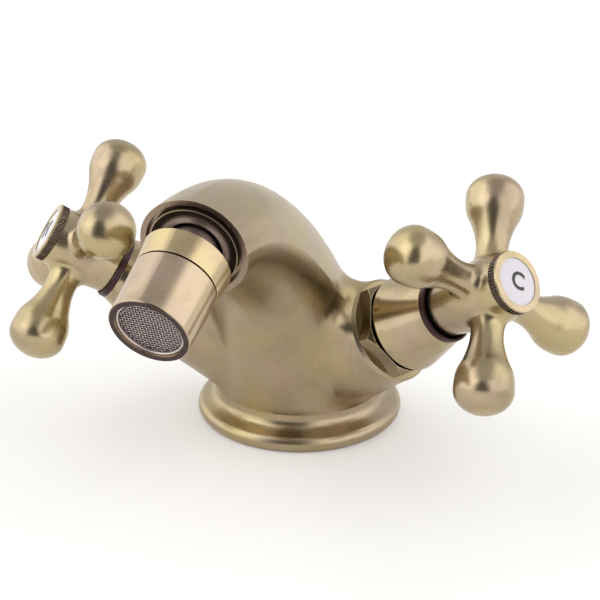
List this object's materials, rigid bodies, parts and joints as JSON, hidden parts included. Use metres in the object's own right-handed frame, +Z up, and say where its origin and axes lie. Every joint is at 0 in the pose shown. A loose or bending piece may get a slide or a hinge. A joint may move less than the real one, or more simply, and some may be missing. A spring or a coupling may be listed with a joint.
{
  "type": "cross handle tap",
  "caption": "Deck mixer tap with a swan neck on a round flange, angled valves, ball-ended cross handles with index discs and a ball-jointed swivel aerator",
  "frame": {"origin": "centre of the base flange's underside, on the fixing stud's axis", "axes": "+Z up, -Y the front, where the outlet points, +X the cold side"},
  "size_m": [0.1677, 0.1408, 0.0948],
  "materials": {
    "antique_brass": "brushed satin, antiqued",
    "dark_brass": "dark antiqued",
    "plain_brass": "turned",
    "screw_steel": "plated",
    "black_rubber": "matt",
    "white_porcelain": "glazed",
    "slip_plastic": "smooth",
    "aerator_plastic": "moulded",
    "mesh_steel": "woven wire"
  },
  "bodies": {
    "body": {"mixer_body": "antique_brass", "base_gasket": "black_rubber", "socket_seal": "black_rubber", "spout_collar": "dark_brass", "cold_headwork": "plain_brass", "cold_headwork_seal": "black_rubber", "cold_locknut": "antique_brass", "cold_sleeve": "antique_brass", "cold_sleeve_ring": "dark_brass", "hot_headwork": "plain_brass", "hot_headwork_seal": "black_rubber", "hot_locknut": "antique_brass", "hot_sleeve": "antique_brass", "hot_sleeve_ring": "dark_brass"},
    "cold_jumper": {"cold_jumper": "plain_brass", "cold_valve_washer": "black_rubber"},
    "cold_handle": {"cold_spindle": "plain_brass", "cold_spindle_seal": "black_rubber", "cold_cross_handle": "antique_brass", "cold_handle_screw": "screw_steel", "cold_index_ring": "antique_brass", "cold_index_disc": "white_porcelain"},
    "hot_jumper": {"hot_jumper": "plain_brass", "hot_valve_washer": "black_rubber"},
    "hot_handle": {"hot_spindle": "plain_brass", "hot_spindle_seal": "black_rubber", "hot_cross_handle": "antique_brass", "hot_handle_screw": "screw_steel", "hot_index_ring": "antique_brass", "hot_index_disc": "white_porcelain"},
    "slip_ring": {"ball_slip_ring": "slip_plastic"},
    "swivel": {"swivel_ball": "plain_brass", "swivel_ring": "antique_brass"},
    "aerator": {"aerator_shell": "antique_brass", "aerator_washer": "black_rubber", "aerator_insert": "aerator_plastic", "aerator_mesh": "mesh_steel", "mesh_rim": "aerator_plastic"}
  },
  "joints": [
    {"name": "cold_lift", "type": "slide", "parent": "body", "child": "cold_jumper", "axis": [0.7742, -0.3405, 0.5336], "range_m": [-0.00479, 0]},
    {"name": "cold_turn", "type": "hinge", "parent": "cold_jumper", "child": "cold_handle", "pos_m": [0, 0, 0.01393], "axis": [0.7742, -0.3405, 0.5336], "range_deg": [-901, 0]},
    {"name": "hot_lift", "type": "slide", "parent": "body", "child": "hot_jumper", "axis": [-0.7742, -0.3405, 0.5336], "range_m": [0, 0.00479]},
    {"name": "hot_turn", "type": "hinge", "parent": "hot_jumper", "child": "hot_handle", "pos_m": [0, 0, 0.01393], "axis": [-0.7742, -0.3405, 0.5336], "range_deg": [0, 901]},
    {"name": "outlet_swing", "type": "hinge", "parent": "body", "child": "slip_ring", "pos_m": [0, -0.08006, 0.08189], "axis": [0, -0.2351, 0.972], "range_deg": [-8.2, 15.8]},
    {"name": "outlet_tilt", "type": "hinge", "parent": "slip_ring", "child": "swivel", "pos_m": [0, -0.08006, 0.08189], "axis": [0.9978, -0.0643, -0.0156], "range_deg": [-26.13, 3.87]},
    {"name": "aerator_turn", "type": "hinge", "parent": "swivel", "child": "aerator", "pos_m": [0, -0.08006, 0.08189], "axis": [-0.065, -0.9062, -0.4179], "continuous": true}
  ],
  "couplings": [
    {"joint": "cold_turn", "follows": "cold_lift", "rad_per_m": 3279.3},
    {"joint": "hot_turn", "follows": "hot_lift", "rad_per_m": 3279.3}
  ]
}
